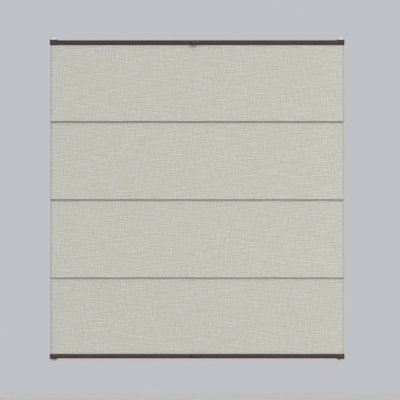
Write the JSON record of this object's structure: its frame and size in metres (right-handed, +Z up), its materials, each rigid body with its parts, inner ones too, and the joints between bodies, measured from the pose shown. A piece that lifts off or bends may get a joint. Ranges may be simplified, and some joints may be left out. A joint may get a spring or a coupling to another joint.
{
  "type": "roman blind",
  "caption": "Roman blind of beige linen for a window sash: panels over fold rods between two brown aluminium rails that slide on taut side cords held by clamp brackets.",
  "frame": {"origin": "middle of the sash's top edge, on its room face", "axes": "+X to the right seen from the room, +Y from the room into the sash, +Z up"},
  "size_m": [1.0006, 0.0659, 1.105],
  "materials": {
    "linen": "slubby plain weave, matt",
    "rail_aluminium": "bronze-brown powder coat",
    "brown_plastic": "fine moulded grain",
    "painted_steel": "white powder coat",
    "white_plastic": "moulded, satin",
    "bright_steel": "zinc plated",
    "pad_rubber": "matt",
    "cord": "braided polyester",
    "rod_plastic": "drawn fibreglass",
    "clear_plastic": "milky, moulded"
  },
  "bodies": {
    "sash_fittings": {"bracket_top_left": "painted_steel", "bracket_top_right": "painted_steel", "bracket_bottom_left": "painted_steel", "bracket_bottom_right": "painted_steel", "clamp_screws": "bright_steel", "clamp_pads": "pad_rubber", "shoe_top_left": "white_plastic", "shoe_top_right": "white_plastic", "shoe_bottom_left": "white_plastic", "shoe_bottom_right": "white_plastic", "shoe_screws": "bright_steel", "cord_beads": "white_plastic", "side_cord_left": "cord", "side_cord_right": "cord", "cloth": "linen", "fold_rod_1": "rod_plastic", "rod_tips_1": "rod_plastic", "fold_clips_1": "clear_plastic"},
    "top_rail": {"top_rail": "rail_aluminium", "top_cap_left": "brown_plastic", "top_cap_right": "brown_plastic", "top_handle": "brown_plastic", "top_hem_strip": "rod_plastic", "top_cord_bushes": "bright_steel", "top_crossing_cords": "cord"},
    "bottom_rail": {"bottom_rail": "rail_aluminium", "bottom_cap_left": "brown_plastic", "bottom_cap_right": "brown_plastic", "bottom_handle": "brown_plastic", "bottom_hem_strip": "rod_plastic", "bottom_cord_bushes": "bright_steel", "bottom_crossing_cords": "cord"},
    "fold_2": {"fold_rod_2": "rod_plastic", "rod_tips_2": "rod_plastic", "fold_clips_2": "clear_plastic"},
    "fold_3": {"fold_rod_3": "rod_plastic", "rod_tips_3": "rod_plastic", "fold_clips_3": "clear_plastic"}
  },
  "joints": [
    {"name": "top_rail_slide", "type": "slide", "parent": "sash_fittings", "child": "top_rail", "axis": [0, 0, -1], "range_m": [0, 0.21], "deforming": ["cloth"]},
    {"name": "bottom_rail_slide", "type": "slide", "parent": "sash_fittings", "child": "bottom_rail", "axis": [0, 0, 1], "range_m": [0, 0.66], "deforming": ["cloth"]},
    {"name": "fold_2_slide", "type": "slide", "parent": "sash_fittings", "child": "fold_2", "axis": [0, 0, 1], "range_m": [0, 0.22], "deforming": ["cloth"]},
    {"name": "fold_3_slide", "type": "slide", "parent": "sash_fittings", "child": "fold_3", "axis": [0, 0, 1], "range_m": [0, 0.44], "deforming": ["cloth"]}
  ],
  "couplings": [
    {"joint": "fold_2_slide", "follows": "bottom_rail_slide", "ratio": 0.33333},
    {"joint": "fold_3_slide", "follows": "bottom_rail_slide", "ratio": 0.66667}
  ]
}
